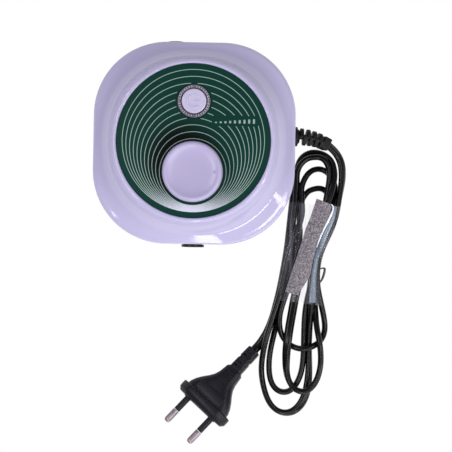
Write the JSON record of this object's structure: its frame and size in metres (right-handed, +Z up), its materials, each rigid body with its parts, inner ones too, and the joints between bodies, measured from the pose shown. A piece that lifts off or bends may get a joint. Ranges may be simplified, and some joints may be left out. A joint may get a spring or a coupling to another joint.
{
  "type": "electric nail file control unit",
  "caption": "Rounded-square desk control unit for an electric nail file, with a speed dial, a power button, a handpiece socket and a flat mains cord wound up with its two-pin plug.",
  "frame": {"origin": "centre of the base on the table", "axes": "+Z up, +Y to the rear wall with the pedal jack, +X to the side where the mains cord leaves"},
  "size_m": [0.145, 0.2308, 0.0695],
  "materials": {
    "lilac_shell": "gloss",
    "lilac_button": "satin",
    "green_panel": "satin",
    "smoke_ring": "satin",
    "grey_plastic": "matte",
    "steel": "satin",
    "black_plastic": "satin",
    "alloy": "satin",
    "brass": "satin",
    "circuit_board": "satin",
    "iron": "satin",
    "winding_tape": "satin",
    "black_rubber": "matte",
    "cord_jacket": "gloss",
    "clear_film": "gloss",
    "brown_wire": "satin",
    "blue_wire": "satin"
  },
  "bodies": {
    "housing": {"base_shell": "lilac_shell", "top_shell": "lilac_shell", "face_panel": "green_panel", "button_ring": "smoke_ring", "button_spring": "steel", "power_switch": "black_plastic", "potentiometer": "grey_plastic", "pot_washer": "steel", "pot_nut": "brass", "control_board": "circuit_board", "main_board": "circuit_board", "transformer_core": "iron", "transformer_coil": "winding_tape", "capacitor": "black_plastic", "heatsink": "alloy", "regulator": "black_plastic", "mains_fuse": "steel", "terminal_block": "grey_plastic", "live_wire": "brown_wire", "neutral_wire": "blue_wire", "board_cable": "grey_plastic", "handpiece_socket": "black_plastic", "socket_nut": "steel", "socket_contacts": "brass", "pedal_jack": "black_plastic", "pedal_nut": "steel", "direction_switch": "black_plastic", "strain_relief": "black_rubber", "cord_lead": "cord_jacket", "cord_hank": "cord_jacket", "cord_tail": "cord_jacket", "cord_wrap": "clear_film", "plug_body": "black_rubber", "plug_pin_left": "steel", "plug_pin_right": "steel", "control_screw_1": "steel", "board_screw_1": "steel", "foot_1": "black_rubber", "case_screw_1": "steel", "control_screw_2": "steel", "board_screw_2": "steel", "foot_2": "black_rubber", "case_screw_2": "steel", "control_screw_3": "steel", "board_screw_3": "steel", "foot_3": "black_rubber", "case_screw_3": "steel", "control_screw_4": "steel", "board_screw_4": "steel", "foot_4": "black_rubber", "case_screw_4": "steel"},
    "speed_dial": {"speed_knob": "lilac_button", "pot_shaft": "alloy"},
    "power_key": {"power_button": "lilac_button", "switch_plunger": "grey_plastic"},
    "direction_paddle": {"direction_rocker": "black_plastic"}
  },
  "joints": [
    {"name": "dial_turn", "type": "hinge", "parent": "housing", "child": "speed_dial", "pos_m": [0, -0.0172, 0.06], "axis": [0, 0, 1], "range_deg": [-60, 240]},
    {"name": "button_press", "type": "slide", "parent": "housing", "child": "power_key", "axis": [0, 0, -1], "range_m": [0, 0.0012], "stiffness_N_per_m": 300, "springref_m": -0.001, "deforming": ["button_spring"]},
    {"name": "rocker_tilt", "type": "hinge", "parent": "housing", "child": "direction_paddle", "pos_m": [0.009, 0.0524, 0.0255], "axis": [1, 0, 0], "range_deg": [-18, 0]}
  ]
}
